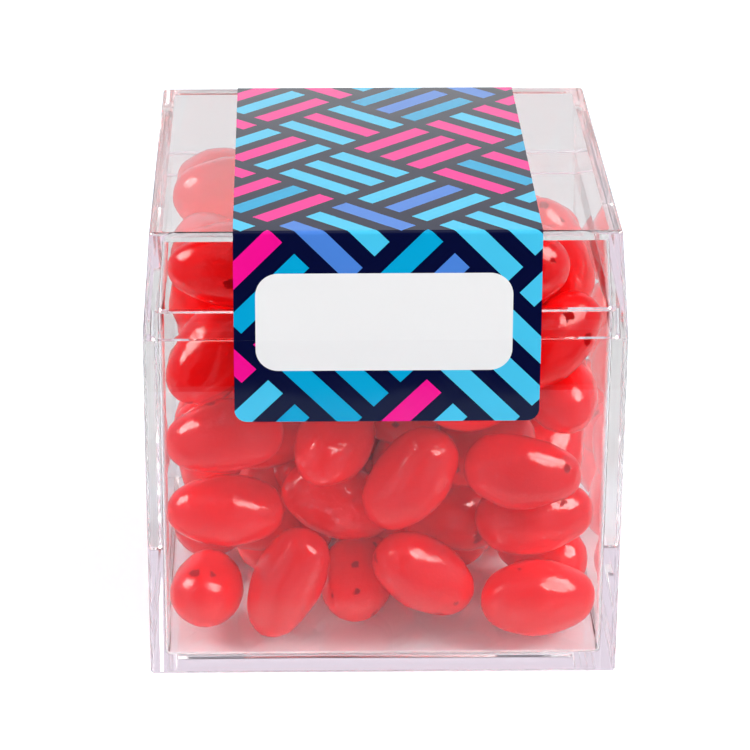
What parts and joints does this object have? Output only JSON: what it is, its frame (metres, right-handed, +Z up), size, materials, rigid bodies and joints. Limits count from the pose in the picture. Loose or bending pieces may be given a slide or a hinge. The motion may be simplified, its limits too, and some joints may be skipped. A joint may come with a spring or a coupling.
{
  "type": "clear candy box with lift-off lid",
  "caption": "Clear moulded cube box with a lift-off lid, a wrap-over printed label and a filling of glossy jelly beans.",
  "frame": {"origin": "middle of the flat bottom face, where the box stands", "axes": "+Z up; -Y is the printed front, where the label comes furthest down the base; +X is to the right seen from the front"},
  "size_m": [0.057, 0.0572, 0.0571],
  "materials": {
    "clear_box": "gloss",
    "printed_label": "gloss",
    "candy_shell": "gloss"
  },
  "bodies": {
    "base_body": {"back_label_tab": "printed_label", "base": "clear_box", "front_bean_01": "candy_shell", "front_bean_02": "candy_shell", "front_bean_03": "candy_shell", "front_bean_04": "candy_shell", "front_bean_05": "candy_shell", "front_bean_06": "candy_shell", "front_bean_07": "candy_shell", "front_bean_08": "candy_shell", "front_bean_09": "candy_shell", "front_bean_10": "candy_shell", "front_bean_11": "candy_shell", "front_bean_12": "candy_shell", "front_bean_13": "candy_shell", "front_bean_14": "candy_shell", "front_bean_15": "candy_shell", "front_bean_16": "candy_shell", "front_bean_17": "candy_shell", "front_bean_18": "candy_shell", "front_bean_19": "candy_shell", "front_bean_20": "candy_shell", "front_bean_21": "candy_shell", "front_bean_22": "candy_shell", "front_label_tab": "printed_label", "heap_beans_01": "candy_shell", "heap_beans_02": "candy_shell", "heap_beans_03": "candy_shell", "heap_beans_04": "candy_shell", "heap_beans_05": "candy_shell", "heap_beans_06": "candy_shell", "heap_beans_07": "candy_shell", "heap_beans_08": "candy_shell", "heap_beans_09": "candy_shell", "heap_beans_10": "candy_shell", "heap_beans_11": "candy_shell", "heap_beans_12": "candy_shell", "heap_beans_13": "candy_shell", "heap_beans_14": "candy_shell", "heap_beans_15": "candy_shell", "heap_beans_16": "candy_shell", "heap_beans_17": "candy_shell", "heap_beans_18": "candy_shell", "heap_beans_19": "candy_shell", "heap_beans_20": "candy_shell", "heap_beans_21": "candy_shell", "heap_beans_22": "candy_shell", "heap_beans_23": "candy_shell", "heap_beans_24": "candy_shell", "heap_beans_25": "candy_shell", "heap_beans_26": "candy_shell", "heap_beans_27": "candy_shell", "heap_beans_28": "candy_shell"},
    "lid_body": {"lid": "clear_box", "lid_label": "printed_label"}
  },
  "joints": [
    {"name": "lid_lift", "type": "slide", "parent": "base_body", "child": "lid_body", "axis": [0, 0, 1], "range_m": [0, 0.02]}
  ]
}
